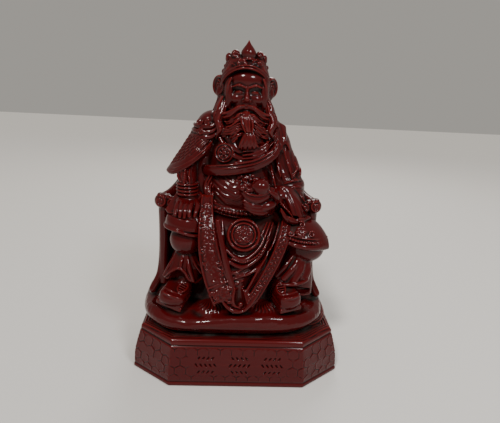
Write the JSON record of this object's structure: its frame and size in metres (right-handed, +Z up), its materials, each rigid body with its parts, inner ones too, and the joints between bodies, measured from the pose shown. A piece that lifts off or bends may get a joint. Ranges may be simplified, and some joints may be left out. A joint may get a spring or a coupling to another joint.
{
  "type": "seated dignitary figurine",
  "caption": "Glossy resin figurine of a bearded crowned dignitary seated in an armchair on a rock ledge, cast in one with its chamfered plinth.",
  "frame": {"origin": "middle of the plinth's underside", "axes": "+Z up; the figure faces -Y; +X is the viewer's right when facing the front"},
  "size_m": [0.128, 0.1, 0.1985],
  "materials": {
    "resin": "glossy oxblood resin with dark antiquing in the carving"
  },
  "bodies": {
    "root": {"statue": "resin"}
  },
  "joints": []
}
